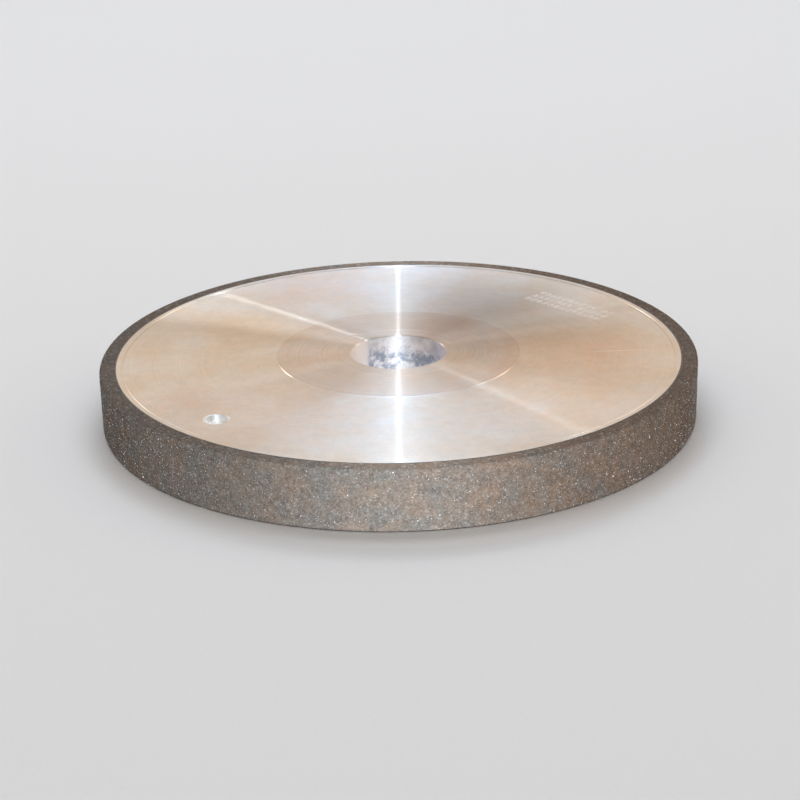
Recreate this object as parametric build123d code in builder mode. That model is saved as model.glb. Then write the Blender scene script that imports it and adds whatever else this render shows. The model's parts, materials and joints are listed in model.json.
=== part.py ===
from build123d import *
from math import radians
from math import tan
import os

# A flat-face diamond grinding wheel, lying on its side. The wheel's axis is +Z, its lower
# face lies on Z = 0, and the origin is the centre of that face. All sizes are in
# millimetres and angles in degrees.

# Driving dimensions of the whole wheel.
wheel_diameter = 200.0
wheel_width = 20.0
abrasive_depth = 5.0
bond_thickness = 0.5
rim_corner_radius = 1.0

# The core's bore, its mounting boss, and the outer lip that stands level with the boss.
bore_diameter = 32.0
bore_chamfer = 0.35
boss_diameter = 81.4
lip_width = 1.8
relief_depth = 0.3
relief_wall_angle = 45.0

# The grooves turned in the core's seat, which key the bond to it.
key_count = 3
key_pitch = 5.0
key_depth = 0.8
key_mouth_width = 1.4
key_floor_width = 2.0

# The blind hole drilled to balance the wheel. The web carries it on the upper face only.
balance_hole_diameter = 8.0
balance_hole_radius = 80.0
balance_hole_angle = 224.3
balance_hole_depth = 2.2
balance_hole_chamfer = 0.2
drill_point_angle = 118.0

# Sizes worked out from the ones above.
wheel_radius = wheel_diameter / 2
abrasive_inner_radius = wheel_radius - abrasive_depth
core_radius = abrasive_inner_radius - bond_thickness
bore_radius = bore_diameter / 2
boss_radius = boss_diameter / 2
lip_inner_radius = core_radius - lip_width
relief_wall_run = relief_depth / tan(radians(relief_wall_angle))
middle_height = wheel_width / 2
upper_web_height = wheel_width - relief_depth
lower_web_height = relief_depth
drill_point_height = balance_hole_diameter / 2 / tan(radians(drill_point_angle / 2))
key_heights = [
    middle_height + key_pitch * (index - (key_count - 1) / 2)
    for index in range(key_count)
]

# A selector's tolerance: how far a found edge's radius or height may be from the stated one.
near = 0.01


# The dovetail keys, drawn once from the seat inwards to the keys' floors. The core has them as
# grooves and the bond as ridges.
with BuildSketch(Plane.XZ) as key_profile:
    for key_height in key_heights:
        with BuildLine():
            Polyline(
                (core_radius, key_height - key_mouth_width / 2),
                (core_radius - key_depth, key_height - key_floor_width / 2),
                (core_radius - key_depth, key_height + key_floor_width / 2),
                (core_radius, key_height + key_mouth_width / 2),
                close=True,
            )
        make_face()

# The core is one aluminium turning. It starts as a plain disc as wide as the wheel.
with BuildPart() as wheel_core:
    Cylinder(
        radius=core_radius,
        height=wheel_width,
        align=(Align.CENTER, Align.CENTER, Align.MIN),
    )
    Hole(radius=bore_radius)

    # Each face is relieved between the boss and the lip, down to the web, with sloping walls.
    with BuildSketch(Plane.XZ) as relief_profile:
        for face_height, floor_height in (
            (wheel_width, upper_web_height),
            (0, lower_web_height),
        ):
            with BuildLine():
                Polyline(
                    (boss_radius, face_height),
                    (boss_radius + relief_wall_run, floor_height),
                    (lip_inner_radius, floor_height),
                    (lip_inner_radius + relief_wall_run, face_height),
                    close=True,
                )
            make_face()
    revolve(axis=Axis.Z, mode=Mode.SUBTRACT)

    # The seat's keying grooves.
    revolve(key_profile.sketch, axis=Axis.Z, mode=Mode.SUBTRACT)

    bore_mouths = (
        wheel_core.edges()
        .filter_by(GeomType.CIRCLE)
        .filter_by(lambda edge: abs(edge.radius - bore_radius) < near)
    )
    chamfer(bore_mouths, length=bore_chamfer)

    # The balance hole is drilled with a common twist drill, so its floor is a cone.
    with Locations(Plane.XY.offset(upper_web_height)):
        with PolarLocations(
            radius=balance_hole_radius, count=1, start_angle=balance_hole_angle
        ):
            Cylinder(
                radius=balance_hole_diameter / 2,
                height=balance_hole_depth,
                align=(Align.CENTER, Align.CENTER, Align.MAX),
                mode=Mode.SUBTRACT,
            )
    with Locations(Plane.XY.offset(upper_web_height - balance_hole_depth)):
        with PolarLocations(
            radius=balance_hole_radius, count=1, start_angle=balance_hole_angle
        ):
            Cone(
                bottom_radius=0,
                top_radius=balance_hole_diameter / 2,
                height=drill_point_height,
                align=(Align.CENTER, Align.CENTER, Align.MAX),
                mode=Mode.SUBTRACT,
            )
    balance_hole_mouth = (
        wheel_core.edges()
        .filter_by(GeomType.CIRCLE)
        .filter_by(lambda edge: abs(edge.radius - balance_hole_diameter / 2) < near)
        .sort_by(Axis.Z)[-1]
    )
    chamfer(balance_hole_mouth, length=balance_hole_chamfer)

# The bond is the layer without diamonds that holds the abrasive rim on the core. It fills
# the core's grooves.
with BuildPart() as bond_layer:
    with BuildSketch(Plane.XZ) as bond_profile:
        with Locations((core_radius, 0)):
            Rectangle(bond_thickness, wheel_width, align=(Align.MIN, Align.MIN))
        add(key_profile.sketch_local)
    revolve(axis=Axis.Z)

# The abrasive rim is one continuous ring, with both outer corners rounded by dressing.
with BuildPart() as abrasive_rim:
    with BuildSketch(Plane.XZ) as rim_profile:
        with Locations((abrasive_inner_radius, 0)):
            Rectangle(abrasive_depth, wheel_width, align=(Align.MIN, Align.MIN))
        outer_corners = rim_profile.vertices().group_by(Axis.X)[-1]
        fillet(outer_corners, radius=rim_corner_radius)
    revolve(axis=Axis.Z)

wheel_core.part.label = "wheel_core"
bond_layer.part.label = "bond_layer"
abrasive_rim.part.label = "abrasive_rim"

os.makedirs("parts", exist_ok=True)
export_step(wheel_core.part, "parts/wheel_core.step")
export_step(bond_layer.part, "parts/bond_layer.step")
export_step(abrasive_rim.part, "parts/abrasive_rim.step")
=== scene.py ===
"""The looks of a 200 mm diamond grinding wheel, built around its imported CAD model."""

import json
import math
import random
from functools import cached_property

import bmesh
import bpy
from mathutils import Matrix, Vector


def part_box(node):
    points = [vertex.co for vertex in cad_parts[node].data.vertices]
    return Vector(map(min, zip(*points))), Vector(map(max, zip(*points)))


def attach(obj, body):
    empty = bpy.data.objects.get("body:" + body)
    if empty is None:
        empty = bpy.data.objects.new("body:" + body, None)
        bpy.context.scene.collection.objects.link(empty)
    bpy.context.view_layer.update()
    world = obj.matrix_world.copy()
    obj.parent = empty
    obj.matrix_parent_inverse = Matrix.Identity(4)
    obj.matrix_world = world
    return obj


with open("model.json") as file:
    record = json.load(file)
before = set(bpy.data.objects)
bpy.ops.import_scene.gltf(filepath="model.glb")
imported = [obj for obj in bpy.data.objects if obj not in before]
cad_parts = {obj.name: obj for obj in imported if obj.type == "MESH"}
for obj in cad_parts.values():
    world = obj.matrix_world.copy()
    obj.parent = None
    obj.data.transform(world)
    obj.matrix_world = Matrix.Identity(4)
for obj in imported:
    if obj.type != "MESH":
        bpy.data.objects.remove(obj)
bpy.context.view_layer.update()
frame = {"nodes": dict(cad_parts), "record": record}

MM = 0.001
SEED = 20

# The wheel's sizes, read from the CAD where it gives them.
_, core_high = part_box("wheel_core")
_, rim_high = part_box("abrasive_rim")
FACE_HEIGHT = core_high.z
RIM_RADIUS = rim_high.x
bore_mount = next(m for m in frame["record"]["mounts"] if m["name"] == "bore")
BORE_RADIUS = bore_mount["dims"]["r_mm"] * MM
ABRASIVE_DEPTH = 5 * MM
ABRASIVE_INNER_RADIUS = RIM_RADIUS - ABRASIVE_DEPTH
RIM_CORNER = 1 * MM
BALANCE_HOLE_DISTANCE = 80 * MM
BALANCE_HOLE_ANGLE = math.radians(224.3)


# ---------------------------------------------------------------- camera and floor


def link(item):
    bpy.context.scene.collection.objects.link(item)
    return item


def make_camera():
    """The viewing angle: low, from the front, with a long lens and a slight tilt."""
    elevation = math.radians(20.32)
    distance = 707.2 * MM
    roll = math.radians(1.36)
    aside = 0.19 * MM
    below_face = 17.5 * MM
    target = Vector((aside, 0, FACE_HEIGHT - below_face))
    data = bpy.data.cameras.new("camera")
    data.sensor_width = 36
    data.lens = 94.5
    data.clip_start = 0.01
    camera = link(bpy.data.objects.new("camera", data))
    back = Vector((0, -math.cos(elevation), math.sin(elevation)))
    place = Vector((0, 0, FACE_HEIGHT)) + distance * back
    aim = (target - place).to_track_quat("-Z", "Y").to_matrix().to_4x4()
    tilt = Matrix.Rotation(-roll, 4, "Z")
    camera.matrix_world = Matrix.Translation(place) @ aim @ tilt
    bpy.context.scene.camera = camera


def make_floor():
    size = 6.0
    half = size / 2
    corners = [(-half, -half, 0), (half, -half, 0), (half, half, 0), (-half, half, 0)]
    mesh = bpy.data.meshes.new("floor")
    mesh.from_pydata(corners, [], [(0, 1, 2, 3)])
    floor = link(bpy.data.objects.new("floor", mesh))
    tree = Tree("floor_paper")
    grain = tree.noise(scale=900, detail=2)
    colour = tree.blend(grain, (0.84, 0.84, 0.84), (0.88, 0.88, 0.88))
    tree.surface(colour, roughness=0.9)
    mesh.materials.append(tree.material)
    return floor


# ---------------------------------------------------------------- lights

WHITE = (1.0, 1.0, 1.0)
COOL_SPOT = (0.85, 1.0, 1.15)
COOL_BOX = (0.84, 0.98, 1.16)

# Each light's name, azimuth and elevation in degrees, distance, width and height in metres,
# radiance, colour, and the part of the scene that it lights, or None where it lights everything.
# Azimuth 0 is +X and 90 is +Y, behind the wheel.
LIGHTS = [
    # The rim's side: a key light beside the camera, and a weaker light for its far half.
    ("rim_key", -87.5, 18, 2.0, 0.55, 0.35, 432.0, (0.92, 1.0, 1.08), "rim"),
    ("rim_back", 95, 5, 2.0, 0.55, 0.3, 82.0, (0.98, 0.99, 1.0), "rim"),
    # The bright streak across the face from front to back: a narrow light with a glow round it,
    # and three nested boxes behind the wheel, which fade it out to the sides.
    ("face_spot", -91, 55, 2.0, 0.056, 0.25, 225.0, COOL_SPOT, "core"),
    ("front_glow", -91, 55, 2.0, 0.26, 0.25, 11.0, COOL_SPOT, "core"),
    ("top_box", 90, 52, 2.0, 0.86, 0.5, 1.15, COOL_BOX, None),
    ("top_middle", 90, 52, 1.95, 0.54, 0.5, 1.0, COOL_BOX, None),
    ("top_strip", 90, 52, 1.9, 0.18, 0.5, 1.75, (0.6, 0.95, 1.3), None),
    # Broad light on the face's front and back, and on the floor.
    ("back_box", 95, 46, 2.0, 2.0, 0.45, 1.2, WHITE, None),
    ("front_top", -90, 76, 2.0, 2.8, 0.8, 0.9, WHITE, None),
    # What the two sides of the bore's wall reflect.
    ("right_window", 35, 32, 2.0, 0.6, 0.7, 1.5, (1.1, 0.97, 0.82), "core"),
    ("left_window", 136, 22, 2.0, 0.5, 0.7, 2.4, (1.0, 0.98, 0.96), "core"),
    # The second, slanting streak.
    ("right_lamp", 24.6, 50, 1.4, 0.07, 0.07, 72.0, (0.86, 1.0, 1.12), "core"),
    # A fill for the floor, and one for the bore's far wall.
    ("top_soft", 90, 74, 2.0, 1.9, 0.5, 2.8, (0.96, 0.99, 1.03), "floor"),
    ("front_fill", -90, 22, 2.0, 2.4, 0.8, 0.45, WHITE, "core"),
]


def area_light(name, azimuth, elevation, distance, width, height, radiance, colour):
    """A soft box aimed at the wheel. Its power follows from the radiance wanted, so that its size
    can change without its brightness."""
    data = bpy.data.lights.new(name, "AREA")
    data.shape = "RECTANGLE"
    data.size = width
    data.size_y = height
    data.energy = radiance * math.pi * width * height
    data.color = colour
    lamp = link(bpy.data.objects.new(name, data))
    turn, lift = math.radians(azimuth), math.radians(elevation)
    flat = math.cos(lift)
    way = Vector((flat * math.cos(turn), flat * math.sin(turn), math.sin(lift)))
    centre = Vector((0, 0, FACE_HEIGHT))
    place = centre + distance * way
    aim = (-way).to_track_quat("-Z", "Y").to_matrix().to_4x4()
    lamp.matrix_world = Matrix.Translation(place) @ aim
    return lamp


def inside_bore(name, x, width, radiance):
    """A small light just above the floor inside the bore, facing up, which the camera doesn't
    see. It stands for what the bore's wall reflects."""
    depth = 22 * MM
    above_floor = 0.5 * MM
    lamp = area_light(name, 0, 90, 1.0, width, depth, radiance, (1.0, 0.97, 0.96))
    facing_up = Matrix.Rotation(math.pi, 4, "X")
    lamp.matrix_world = Matrix.Translation((x, 0, above_floor)) @ facing_up
    lamp.visible_camera = False


def make_surround():
    """The studio's walls: bright and warm low down behind the wheel, duller and neutral above,
    and dim on the camera's side, so that the key light shapes the rim's front. They give most of
    the face its tone."""
    world = bpy.data.worlds.new("studio")
    bpy.context.scene.world = world
    world.use_nodes = True
    tree = Tree("surround", world.node_tree)
    _, y, z = tree.split(tree.add("ShaderNodeTexCoord").outputs["Generated"])
    warm_low = (0.76, 0.65, 0.55)
    neutral_high = (0.35, 0.35, 0.36)
    dim_front = (0.22, 0.21, 0.20)
    behind = tree.blend(tree.step(z, 0.3, 0.8), warm_low, neutral_high)
    colour = tree.blend(tree.step(y, -0.4, 0.1), dim_front, behind)
    background = tree.add("ShaderNodeBackground")
    tree.feed(background.inputs["Color"], colour)
    out = tree.add("ShaderNodeOutputWorld")
    tree.feed(out.inputs["Surface"], background.outputs[0])


def make_lights():
    """The lights of the table above, two small ones inside the bore, and the surround."""
    for name, *setting, _ in LIGHTS:
        area_light(name, *setting)
    inside_bore("bore_strip", 0, 5 * MM, 1.05)
    inside_bore("bore_side", 8 * MM, 9 * MM, 7.6)
    make_surround()
    bpy.context.scene.view_settings.view_transform = "Standard"


def light_only(lamp, pieces):
    """Keeps a lamp off everything but the given pieces, as a flag in a studio would."""
    lit = bpy.data.collections.new(lamp + "_lights")
    for piece in pieces:
        lit.objects.link(piece)
    bpy.data.objects[lamp].light_linking.receiver_collection = lit


# ---------------------------------------------------------------- material nodes


class Tree:
    """A material's node tree, with short ways to add the nodes used here. Lengths in it are in
    millimetres, so that patterns are written at the wheel's own scale."""

    def __init__(self, name, node_tree=None):
        a_material = node_tree is None
        if a_material:
            self.material = bpy.data.materials.new(name)
            self.material.use_nodes = True
            node_tree = self.material.node_tree
        self.nodes = node_tree.nodes
        self.links = node_tree.links
        self.nodes.clear()
        if a_material:
            self.output = self.nodes.new("ShaderNodeOutputMaterial")

    def feed(self, socket, value):
        """Links a socket or sets a plain number, colour or vector."""
        if isinstance(value, bpy.types.NodeSocket):
            self.links.new(value, socket)
        elif isinstance(value, tuple) and socket.type == "RGBA":
            socket.default_value = (*value, 1)
        else:
            socket.default_value = value

    def add(self, kind, **settings):
        node = self.nodes.new(kind)
        for key, value in settings.items():
            setattr(node, key, value)
        return node

    def math(self, operation, *values):
        node = self.add("ShaderNodeMath", operation=operation)
        for socket, value in zip(node.inputs, values):
            self.feed(socket, value)
        return node.outputs[0]

    def split(self, vector):
        node = self.add("ShaderNodeSeparateXYZ")
        self.feed(node.inputs[0], vector)
        return tuple(node.outputs)

    def join(self, x, y, z):
        node = self.add("ShaderNodeCombineXYZ")
        for socket, value in zip(node.inputs, (x, y, z)):
            self.feed(socket, value)
        return node.outputs[0]

    @cached_property
    def place(self):
        """The point's place in the wheel's frame, in millimetres."""
        node = self.add("ShaderNodeVectorMath", operation="SCALE")
        self.feed(node.inputs[0], self.add("ShaderNodeTexCoord").outputs["Object"])
        self.feed(node.inputs["Scale"], 1 / MM)
        return node.outputs[0]

    @cached_property
    def xyz(self):
        return self.split(self.place)

    @cached_property
    def radius(self):
        """How far the point is from the wheel's axis, in millimetres."""
        return self.distance((0, 0))

    def distance(self, centre):
        """How far across the face the point is from a centre, in millimetres."""
        x, y, _ = self.xyz
        dx = self.math("SUBTRACT", x, centre[0])
        dy = self.math("SUBTRACT", y, centre[1])
        squares = self.math("ADD", self.math("MULTIPLY", dx, dx), self.math("MULTIPLY", dy, dy))
        return self.math("SQRT", squares)

    def noise(self, scale, detail=2.0, roughness=0.5):
        """Smooth noise from 0 to 1. The scale is in features to a metre."""
        node = self.add("ShaderNodeTexNoise")
        self.feed(node.inputs["Vector"], self.place)
        self.feed(node.inputs["Scale"], scale * MM)
        self.feed(node.inputs["Detail"], detail)
        self.feed(node.inputs["Roughness"], roughness)
        return node.outputs["Fac"]

    def line_noise(self, value, scale, detail=2.0):
        """Smooth noise along one number, from 0 to 1. The scale is in features to a millimetre."""
        node = self.add("ShaderNodeTexNoise", noise_dimensions="1D")
        self.feed(node.inputs["W"], value)
        self.feed(node.inputs["Scale"], scale)
        self.feed(node.inputs["Detail"], detail)
        return node.outputs["Fac"]

    def cells(self, scale):
        """Voronoi cells, with a random colour each. The scale is in cells to a metre."""
        node = self.add("ShaderNodeTexVoronoi")
        self.feed(node.inputs["Vector"], self.place)
        self.feed(node.inputs["Scale"], scale * MM)
        return node.outputs["Color"]

    def random(self, vector):
        node = self.add("ShaderNodeTexWhiteNoise")
        self.feed(node.inputs["Vector"], vector)
        return node.outputs["Value"]

    def step(self, value, low, high):
        """0 below low and 1 above high, with a smooth ramp between. High may be the lower."""
        node = self.add("ShaderNodeMapRange", interpolation_type="SMOOTHSTEP")
        self.feed(node.inputs["Value"], value)
        self.feed(node.inputs["From Min"], min(low, high))
        self.feed(node.inputs["From Max"], max(low, high))
        self.feed(node.inputs["To Min"], 0.0 if low < high else 1.0)
        self.feed(node.inputs["To Max"], 1.0 if low < high else 0.0)
        return node.outputs["Result"]

    def band(self, value, rise, fall):
        """1 between two ramps and 0 outside them, each ramp given by where it starts and ends."""
        start, end = fall
        return self.math("MULTIPLY", self.step(value, *rise), self.step(value, end, start))

    def spread(self, value, low, high):
        """Stretches 0 to 1 onto low to high."""
        node = self.add("ShaderNodeMapRange")
        self.feed(node.inputs["Value"], value)
        self.feed(node.inputs["To Min"], low)
        self.feed(node.inputs["To Max"], high)
        return node.outputs["Result"]

    def blend(self, share, first, second, mode="MIX"):
        node = self.add("ShaderNodeMix", data_type="RGBA", blend_type=mode)
        self.feed(node.inputs[0], share)
        self.feed(node.inputs[6], first)
        self.feed(node.inputs[7], second)
        return node.outputs[2]

    def tinted(self, colour, tint, share=1.0):
        """A colour multiplied by a tint, by some share of it."""
        return self.blend(share, colour, tint, mode="MULTIPLY")

    def shaded(self, colour, shade):
        """A colour multiplied by one number."""
        return self.tinted(colour, self.join(shade, shade, shade))

    def bump(self, height, depth_mm, onto=None):
        node = self.add("ShaderNodeBump")
        self.feed(node.inputs["Height"], height)
        self.feed(node.inputs["Distance"], depth_mm * MM)
        self.feed(node.inputs["Strength"], 1.0)
        if onto is not None:
            self.feed(node.inputs["Normal"], onto)
        return node.outputs[0]

    def leaned(self, slope, lift=0.0):
        """The surface normal, leaned away from the wheel's axis by a slope, or towards it where
        that is negative, as the walls of turned grooves are. The lift leans it upwards."""
        x, y, _ = self.xyz
        outward = [
            self.math("MULTIPLY", self.math("DIVIDE", c, self.radius), slope) for c in (x, y)
        ]
        lean = self.add("ShaderNodeVectorMath", operation="ADD")
        self.feed(lean.inputs[0], self.add("ShaderNodeNewGeometry").outputs["Normal"])
        self.feed(lean.inputs[1], self.join(*outward, lift))
        level = self.add("ShaderNodeVectorMath", operation="NORMALIZE")
        self.feed(level.inputs[0], lean.outputs[0])
        return level.outputs[0]

    def around_axis(self):
        return self.add("ShaderNodeTangent", direction_type="RADIAL", axis="Z").outputs[0]

    def mixed(self, share, first, second):
        node = self.add("ShaderNodeMixShader")
        for socket, value in zip(node.inputs, (share, first, second)):
            self.feed(socket, value)
        return node.outputs[0]

    def surface(self, colour, roughness, normal=None, tangent=None, **settings):
        """The main shader. Settings are its other sockets, by name with _ for a space."""
        shader = self.add("ShaderNodeBsdfPrincipled")
        self.feed(shader.inputs["Base Color"], colour)
        self.feed(shader.inputs["Roughness"], roughness)
        if normal is not None:
            self.feed(shader.inputs["Normal"], normal)
        if tangent is not None:
            self.feed(shader.inputs["Tangent"], tangent)
        for key, value in settings.items():
            self.feed(shader.inputs[key.replace("_", " ")], value)
        self.feed(self.output.inputs["Surface"], shader.outputs[0])
        return shader.outputs[0]


# ---------------------------------------------------------------- the core's metal

# Radii on the core's face, in millimetres. The boss's wall slopes down just outside its edge.
# The lip's foot is a narrow band round the bottom of the lip's wall.
BORE_EDGE = BORE_RADIUS / MM
BOSS_EDGE = 40.7
BOSS_WALL_END = BOSS_EDGE + 0.28
LIP_FOOT_START = 92.3
LIP_FOOT_END = 92.8
BALANCE_HOLE_EDGE = 4.15

# Both face colours are warmer than bare aluminium: partly the metal's own tone, partly a painted
# reflection of warm surroundings.
CLEAN_FACE = (0.88, 0.83, 0.78)
STAINED_FACE = (0.85, 0.755, 0.66)
BOSS_TINT = (0.92, 0.88, 0.87)
ETCHED = (0.96, 0.92, 0.90)

# Dulled places on the face, and places painted lighter or darker: centre in mm, how far each
# reaches in mm, and its tint, which is above 1 where the place is painted brighter than the rest.
# The widest ones are painted light and painted shade, which even out how the light falls on the
# face.
FACE_STAINS_AND_PAINTED_LIGHT = [
    ((31, 42), 66, (0.56, 0.53, 0.51)),
    ((-50, 27), 30, (0.97, 0.87, 0.76)),
    ((61, -4), 42, (0.90, 0.77, 0.67)),
    ((-68, -38), 16, (0.96, 0.88, 0.84)),
    ((14, 24), 20, (0.90, 0.82, 0.78)),
    ((27, 2), 18, (0.84, 0.84, 0.86)),
    ((-34, 70), 36, (0.94, 0.86, 0.82)),
    ((4, -62), 58, (0.95, 1.02, 1.13)),
    ((0, 88), 95, (0.80, 0.80, 0.85)),
    ((50, -50), 52, (1.15, 1.11, 1.11)),
    ((-42, -52), 46, (1.10, 1.07, 1.08)),
]


def etched_marks(tree):
    """Where the generic etched block is: three rows of random dots, which spell nothing."""
    x, y, _ = tree.xyz
    angle = math.radians(43)
    row_direction = (math.sin(angle), -math.cos(angle))
    out_direction = (math.cos(angle), math.sin(angle))
    row_start, row_end = -7.8, 27.2
    first_row, row_pitch, row_height, row_count = 69.6, 3.8, 2.9, 3
    dot = 0.54
    dots_to_group = 5
    dots_missing = 0.28
    groups_missing = 0.06
    # Any whole number of groups that keeps the columns' numbers positive, and any fixed number
    # that sets the groups' random draw apart from the dots'.
    columns_ahead = 400
    group_draw = 7.0

    def along(direction):
        parts = [tree.math("MULTIPLY", c, d) for c, d in zip((x, y), direction)]
        return tree.math("ADD", *parts)

    across = along(row_direction)
    outward = tree.math("SUBTRACT", along(out_direction), first_row)
    row = tree.math("FLOOR", tree.math("DIVIDE", outward, row_pitch))
    in_row = tree.math("SUBTRACT", outward, tree.math("MULTIPLY", row, row_pitch))
    column = tree.math("FLOOR", tree.math("DIVIDE", across, dot))
    line = tree.math("FLOOR", tree.math("DIVIDE", in_row, dot))
    group = tree.math("FLOOR", tree.math("DIVIDE", column, dots_to_group))
    dot_draw = tree.random(tree.join(column, line, row))
    in_group = tree.math("MODULO", tree.math("ADD", column, columns_ahead), dots_to_group)
    conditions = [
        tree.math("GREATER_THAN", tree.random(tree.join(group, row, group_draw)), groups_missing),
        tree.math("GREATER_THAN", in_group, 0.5),
        tree.math("LESS_THAN", in_row, row_height),
        tree.math("GREATER_THAN", row, -0.5),
        tree.math("LESS_THAN", row, row_count - 0.5),
        tree.math("GREATER_THAN", across, row_start),
        tree.math("LESS_THAN", across, row_end),
    ]
    mask = tree.math("GREATER_THAN", dot_draw, dots_missing)
    for condition in conditions:
        mask = tree.math("MULTIPLY", mask, condition)
    return mask


def scratch_mark(tree):
    """A fine scratch near the right edge, about 20 mm long."""
    x, y, _ = tree.xyz
    slope = 0.05
    height_on_axis = -6.9
    line = tree.math("MULTIPLY_ADD", x, slope, height_on_axis)
    off_line = tree.math("ABSOLUTE", tree.math("SUBTRACT", y, line))
    along = tree.band(x, rise=(62, 70), fall=(82, 88))
    return tree.math("MULTIPLY", tree.step(off_line, 0.5, 0.1), along)


def face_colour(tree, on_boss, mottle, marks):
    """The face's colour: broad patches where the metal has dulled, the table's dulled places and
    its painted light and shade, finer mottling and faint rings all over, a rosy tarnish, the
    etched marks and the scratch."""
    patches = tree.noise(scale=45, detail=3, roughness=0.55)
    face = tree.blend(tree.step(patches, 0.35, 0.65), CLEAN_FACE, STAINED_FACE)
    # The table's tints: dulled places, and painted light and painted shade over the widest ones.
    for centre, reach, tint in FACE_STAINS_AND_PAINTED_LIGHT:
        share = tree.step(tree.distance(centre), reach, 0.0)
        face = tree.tinted(face, tint, share)
    face = tree.tinted(face, BOSS_TINT, on_boss)

    unevenness = tree.spread(tree.noise(scale=1500, detail=2), 0.93, 1.07)
    streaks = tree.spread(tree.line_noise(tree.radius, 1.1, detail=4), -0.05, 0.05)
    rings = tree.spread(tree.line_noise(tree.radius, 1.3, detail=3), -0.12, 0.12)
    boss_rings = tree.math("MULTIPLY", rings, on_boss)
    for part in (tree.spread(mottle, -0.12, 0.12), streaks, boss_rings):
        unevenness = tree.math("ADD", unevenness, part)
    face = tree.shaded(face, unevenness)

    rosy = tree.step(tree.noise(scale=150, detail=3, roughness=0.6), 0.38, 0.62)
    tarnish = tree.blend(rosy, (0.98, 1.0, 1.01), (1.01, 0.985, 0.965))
    face = tree.tinted(face, tarnish)
    face = tree.blend(tree.math("MULTIPLY", marks, 0.5), face, ETCHED)
    return tree.blend(tree.math("MULTIPLY", scratch_mark(tree), 0.6), face, ETCHED)


def turned_face(tree, mottle, tangent):
    """Metal faced on a lathe: fine grooves around the axis, with the coarser feed of the last cut
    on the boss. A wide lobe gives the broad shine and a sharp one the streaks. Both lean towards
    the axis, by slopes chosen for the look. Nearer the axis the sharp lobe is rougher and leans
    less, which keeps the streaks nearly as wide there."""
    _, y, _ = tree.xyz
    on_boss = tree.step(tree.radius, BOSS_EDGE + 0.3, BOSS_EDGE)
    near_axis = tree.step(tree.radius, 75.0, 15.0)
    marks = etched_marks(tree)
    colour = face_colour(tree, on_boss, mottle, marks)

    wander = tree.line_noise(tree.radius, 0.6)
    feed_phase = tree.math("ADD", tree.math("MULTIPLY", tree.radius, 5.2), wander)
    feed = tree.math("MULTIPLY_ADD", tree.math("SINE", feed_phase), 0.5, 0.5)
    feed_depth = tree.math("MULTIPLY", feed, tree.spread(on_boss, 0.04, 0.16))
    grooves = tree.math("ADD", tree.line_noise(tree.radius, 4.0, detail=3), feed_depth)

    # The boss's front wall is shaded flatter than it stands, and the lip's foot leans outwards,
    # so that each shows as a fine pale line.
    boss_wall = tree.band(
        tree.radius,
        rise=(BOSS_EDGE - 0.1, BOSS_EDGE),
        fall=(BOSS_WALL_END, BOSS_WALL_END + 0.07),
    )
    in_front = tree.step(y, -20.0, -34.0)
    boss_wall = tree.math("MULTIPLY", boss_wall, in_front)
    lip_foot = tree.band(
        tree.radius,
        rise=(LIP_FOOT_START - 0.1, LIP_FOOT_START),
        fall=(LIP_FOOT_END, LIP_FOOT_END + 0.1),
    )
    wall_slope = -0.45
    foot_slope = 0.5
    foot_lean = tree.math("MULTIPLY", lip_foot, foot_slope)
    softened = tree.math("MULTIPLY_ADD", boss_wall, wall_slope, foot_lean)

    wide_lean = 0.065
    wide_normal = tree.leaned(tree.math("SUBTRACT", softened, wide_lean))
    roughness = tree.math("MULTIPLY_ADD", marks, 0.10, tree.spread(mottle, 0.27, 0.35))
    wide = tree.surface(
        colour,
        roughness,
        tree.bump(grooves, depth_mm=0.004, onto=wide_normal),
        tangent,
        Metallic=1.0,
        Anisotropic=0.95,
        Anisotropic_Rotation=0.25,
    )

    sharp_lean = tree.spread(near_axis, 0.42, 0.30)
    sharp = tree.add("ShaderNodeBsdfAnisotropic", distribution="GGX")
    tree.feed(sharp.inputs["Color"], colour)
    tree.feed(sharp.inputs["Roughness"], tree.spread(near_axis, 0.14, 0.28))
    tree.feed(sharp.inputs["Anisotropy"], tree.spread(near_axis, 0.9, 0.8))
    tree.feed(sharp.inputs["Tangent"], tangent)
    tree.feed(sharp.inputs["Normal"], tree.leaned(tree.math("SUBTRACT", softened, sharp_lean)))
    return tree.mixed(tree.spread(near_axis, 0.25, 0.32), wide, sharp.outputs[0])


def bored_wall(tree, mottle, tangent, in_hole):
    """The walls of the bore and the balance hole, rougher from their own cuts. Their colours are
    painted
    light: blotchy painted reflections in the bore, painted shade lower down and on its right side,
    a painted highlight on its left side, and a painted highlight filling the balance hole."""
    x, _, z = tree.xyz
    # Blotches of painted reflection in the bore, darker lower down as painted shade.
    painted_reflection_blotches = tree.step(tree.noise(scale=260, detail=4, roughness=0.7), 0.40, 0.60)
    deep_shade_and_reflections = tree.blend(painted_reflection_blotches, (0.38, 0.42, 0.50), (0.90, 0.88, 0.89))
    shallow_reflections = tree.blend(painted_reflection_blotches, (0.80, 0.76, 0.77), (0.95, 0.92, 0.91))
    level = tree.math("ADD", z, tree.spread(mottle, -5.0, 5.0))
    colour = tree.blend(tree.step(level, 12.0, 16.5), deep_shade_and_reflections, shallow_reflections)
    # A painted highlight on the bore's left side, and painted shade on its right side.
    colour = tree.blend(tree.step(x, -9.5, -11.0), colour, (1.0, 0.92, 0.87))
    colour = tree.tinted(colour, (0.68, 0.70, 0.78), tree.step(x, 9.5, 13.0))
    # The balance hole is painted near white: a painted highlight for its lit inside.
    colour = tree.blend(in_hole, colour, (1.0, 0.98, 0.95))
    return tree.surface(
        colour,
        tree.spread(mottle, 0.50, 0.62),
        tree.leaned(0.0, lift=0.4),
        tangent,
        Metallic=1.0,
        Anisotropic=0.7,
        Anisotropic_Rotation=0.25,
    )


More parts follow.
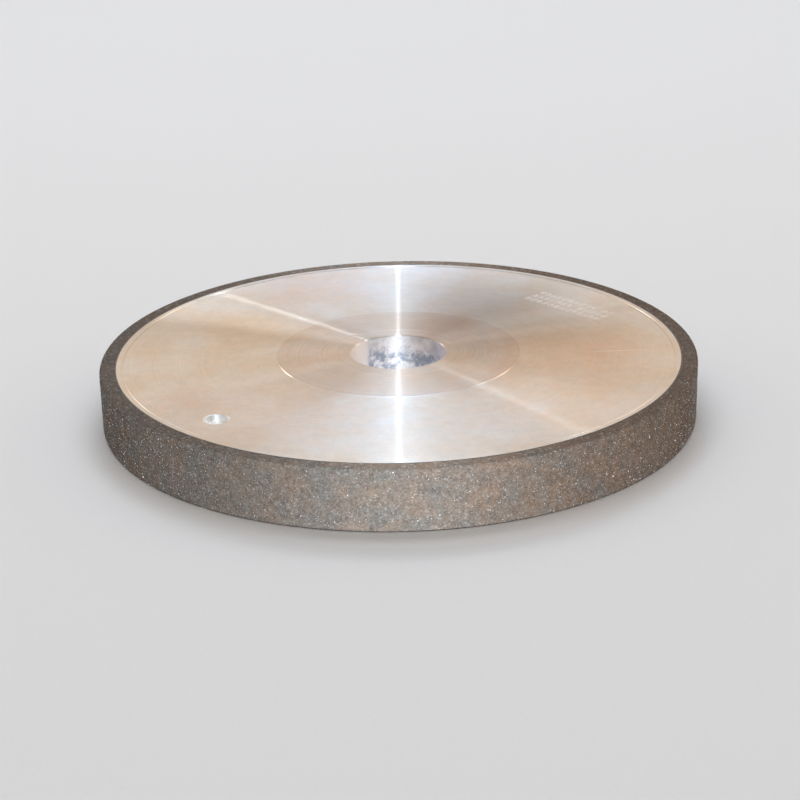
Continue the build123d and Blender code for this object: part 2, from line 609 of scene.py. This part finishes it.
def turned_aluminium():
    """The core's aluminium, turned on its faces and bored in its two holes."""
    tree = Tree("turned_aluminium")
    mottle = tree.noise(scale=260, detail=4, roughness=0.6)
    tangent = tree.around_axis()
    hole_centre = [
        BALANCE_HOLE_DISTANCE / MM * way(BALANCE_HOLE_ANGLE) for way in (math.cos, math.sin)
    ]
    in_hole = tree.step(tree.distance(hole_centre), BALANCE_HOLE_EDGE + 0.1, BALANCE_HOLE_EDGE)
    in_bore = tree.step(tree.radius, BORE_EDGE + 0.1, BORE_EDGE + 0.05)
    turned = turned_face(tree, mottle, tangent)
    bored = bored_wall(tree, mottle, tangent, in_hole)
    holes = tree.math("MAXIMUM", in_hole, in_bore)
    tree.feed(tree.output.inputs["Surface"], tree.mixed(holes, turned, bored))
    return tree.material


# ---------------------------------------------------------------- the rim's materials


def diamond_abrasive():
    """The bonded abrasive: a metal-filled bond in patches of blue-grey and red-brown, browner at
    the sides and on the flats, and speckled by the grains just under its surface."""
    tree = Tree("diamond_abrasive")
    x, _, _ = tree.xyz
    patches = tree.noise(scale=120, detail=4, roughness=0.65)
    flat_edge = (RIM_RADIUS - RIM_CORNER) / MM
    flats = tree.step(tree.radius, flat_edge + 0.4, flat_edge - 0.4)
    browner = tree.math("MULTIPLY_ADD", x, 0.0014, tree.math("MULTIPLY", flats, 0.09))
    browner = tree.math("MULTIPLY_ADD", tree.math("ABSOLUTE", x), 0.0022, browner)
    share = tree.step(tree.math("ADD", patches, browner), 0.25, 0.93)
    bond = tree.blend(share, (0.070, 0.064, 0.057), (0.100, 0.067, 0.047))

    grain = tree.noise(scale=1300, detail=3, roughness=0.7)
    coarse = tree.noise(scale=420, detail=2)
    speck = tree.split(tree.cells(scale=1700))[0]
    shade = tree.math("ADD", tree.spread(grain, 0.0, 1.6), tree.spread(coarse, -0.2, 0.5))
    pale = tree.math("MULTIPLY", tree.step(speck, 0.86, 1.0), tree.spread(flats, 0.25, 0.6))
    colour = tree.blend(pale, tree.shaded(bond, shade), (0.20, 0.19, 0.18))
    relief = tree.math("ADD", grain, tree.math("MULTIPLY", speck, 0.4))
    tree.surface(
        colour,
        0.82,
        tree.bump(relief, depth_mm=0.06),
        tree.around_axis(),
        Metallic=0.75,
        Specular_IOR_Level=0.3,
        Specular_Tint=(0.2, 0.2, 0.2),
        Anisotropic=0.6,
        Anisotropic_Rotation=0.25,
    )
    return tree.material


def plain_bond():
    """The bond layer's own material: paler and even, without grains."""
    tree = Tree("plain_bond")
    grain = tree.noise(scale=1800, detail=2)
    colour = tree.blend(grain, (0.10, 0.092, 0.085), (0.16, 0.15, 0.14))
    tree.surface(colour, 0.6, tree.bump(grain, depth_mm=0.02))
    return tree.material


def diamond(name, glint):
    """Diamond grit: crystals that take the bond's tone, with bright facets of a given tint."""
    tree = Tree(name)
    tone = tree.random(tree.cells(scale=1200))
    colour = tree.blend(tone, (0.03, 0.028, 0.026), (0.09, 0.085, 0.08))
    tree.surface(colour, 0.46, IOR=2.42, Specular_IOR_Level=0.38, Specular_Tint=glint)
    return tree.material


# ---------------------------------------------------------------- diamond grains

# Two habits of diamond grit, both about 2.8 across from corner to corner: the cuboctahedron, a
# cube cut at its edges' middles, and the octahedron.
CRYSTAL_WIDTH = 2.8
CUBOCTAHEDRON = [
    (0, -1, -1), (0, -1, 1), (0, 1, -1), (0, 1, 1),
    (-1, 0, -1), (-1, 0, 1), (1, 0, -1), (1, 0, 1),
    (-1, -1, 0), (-1, 1, 0), (1, -1, 0), (1, 1, 0),
]
OCTAHEDRON = [
    (-1.4, 0, 0), (1.4, 0, 0), (0, -1.4, 0), (0, 1.4, 0), (0, 0, -1.4), (0, 0, 1.4),
]

# Each kind of grain: its name, its habit, how many are tried, and its smallest and largest size.
GRAINS = [
    ("large_grains", CUBOCTAHEDRON, 3500, 0.26 * MM, 0.45 * MM),
    ("small_grains", OCTAHEDRON, 17000, 0.19 * MM, 0.39 * MM),
]

# The share of the grains that grinding took off the rim's two flat sides.
GRAINS_GROUND_OFF = 0.75

# The three faint tints of the diamonds' shine.
GLINTS = {"clear": (1.0, 0.96, 0.92), "rosy": (1.0, 0.78, 0.78), "cool": (0.84, 0.97, 1.0)}


def hull_faces(corners):
    """The faces of a convex solid, each as a ring of corner numbers, from its corners alone."""
    shape = bmesh.new()
    for corner in corners:
        shape.verts.new(corner)
    bmesh.ops.convex_hull(shape, input=shape.verts)
    shape.verts.index_update()
    faces = [[v.index for v in face.verts] for face in shape.faces]
    shape.free()
    return faces


def rim_profile_point(distance):
    """A point of the rim's outline, by its distance along it from the lower face's inner edge,
    and the outward normal there, both as (radius, height)."""
    flat = RIM_RADIUS - RIM_CORNER - ABRASIVE_INNER_RADIUS
    upright = FACE_HEIGHT - 2 * RIM_CORNER
    arc = math.pi / 2 * RIM_CORNER
    corner_radius = RIM_RADIUS - RIM_CORNER
    if distance < flat:
        return (ABRASIVE_INNER_RADIUS + distance, 0), (0, -1)
    distance -= flat
    if distance < arc:
        turn = distance / RIM_CORNER
        normal = (math.sin(turn), -math.cos(turn))
        return (corner_radius + RIM_CORNER * normal[0], RIM_CORNER * (1 + normal[1])), normal
    distance -= arc
    if distance < upright:
        return (RIM_RADIUS, RIM_CORNER + distance), (1, 0)
    distance -= upright
    if distance < arc:
        turn = distance / RIM_CORNER
        normal = (math.cos(turn), math.sin(turn))
        top = FACE_HEIGHT - RIM_CORNER
        return (corner_radius + RIM_CORNER * normal[0], top + RIM_CORNER * normal[1]), normal
    distance -= arc
    return (corner_radius - distance, FACE_HEIGHT), (0, 1)


def rim_profile_length():
    flat = RIM_RADIUS - RIM_CORNER - ABRASIVE_INNER_RADIUS
    return 2 * flat + math.pi * RIM_CORNER + FACE_HEIGHT - 2 * RIM_CORNER


def make_grains(name, corners, count, smallest, largest, materials, draw):
    """Crystals set at random in the rim's surface, each turned its own way and mostly buried."""
    faces = hull_faces(corners)
    length = rim_profile_length()
    all_corners, all_faces = [], []
    for _ in range(count):
        (radius, height), (out, up) = rim_profile_point(draw.uniform(0, length))
        if abs(up) == 1 and draw.random() < GRAINS_GROUND_OFF:
            continue
        angle = draw.uniform(0, 2 * math.pi)
        size = smallest + (largest - smallest) * draw.random() ** 2
        spin = Matrix.Rotation(draw.uniform(0, 2 * math.pi), 3, Vector(
            (draw.gauss(0, 1), draw.gauss(0, 1), draw.gauss(0, 1))
        ))
        stretch = Vector([draw.uniform(0.75, 1.1) for _ in range(3)])
        normal = Vector((out * math.cos(angle), out * math.sin(angle), up))
        surface = Vector((radius * math.cos(angle), radius * math.sin(angle), height))
        centre = surface - normal * size * draw.uniform(0.1, 0.35)
        start = len(all_corners)
        for corner in corners:
            shaped = Vector(c * s for c, s in zip(corner, stretch))
            all_corners.append(centre + spin @ shaped * (size / CRYSTAL_WIDTH))
        all_faces += [[start + i for i in face] for face in faces]
    mesh = bpy.data.meshes.new(name)
    mesh.from_pydata(all_corners, [], all_faces)
    mesh.update()
    for material in materials:
        mesh.materials.append(material)
    kinds = [draw.randrange(len(materials)) for _ in range(len(all_faces) // len(faces))]
    mesh.polygons.foreach_set("material_index", [kind for kind in kinds for _ in faces])
    grains = link(bpy.data.objects.new(name, mesh))
    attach(grains, "root")
    return grains


# ---------------------------------------------------------------- the whole scene


def dress(node, material):
    """Gives a CAD node its finished material."""
    mesh = frame["nodes"][node].data
    mesh.materials.clear()
    mesh.materials.append(material)


def main():
    make_camera()
    floor = make_floor()
    make_lights()
    dress("wheel_core", turned_aluminium())
    dress("bond_layer", plain_bond())
    dress("abrasive_rim", diamond_abrasive())
    grit = [diamond(name + "_diamond", glint) for name, glint in GLINTS.items()]
    draw = random.Random(SEED)
    grains = [make_grains(*kind, grit, draw) for kind in GRAINS]
    core, rim = (frame["nodes"][n] for n in ("wheel_core", "abrasive_rim"))
    lit_parts = {"core": [core], "rim": [rim, *grains], "floor": [floor]}
    for name, *_, lit in LIGHTS:
        if lit is not None:
            light_only(name, lit_parts[lit])


main()
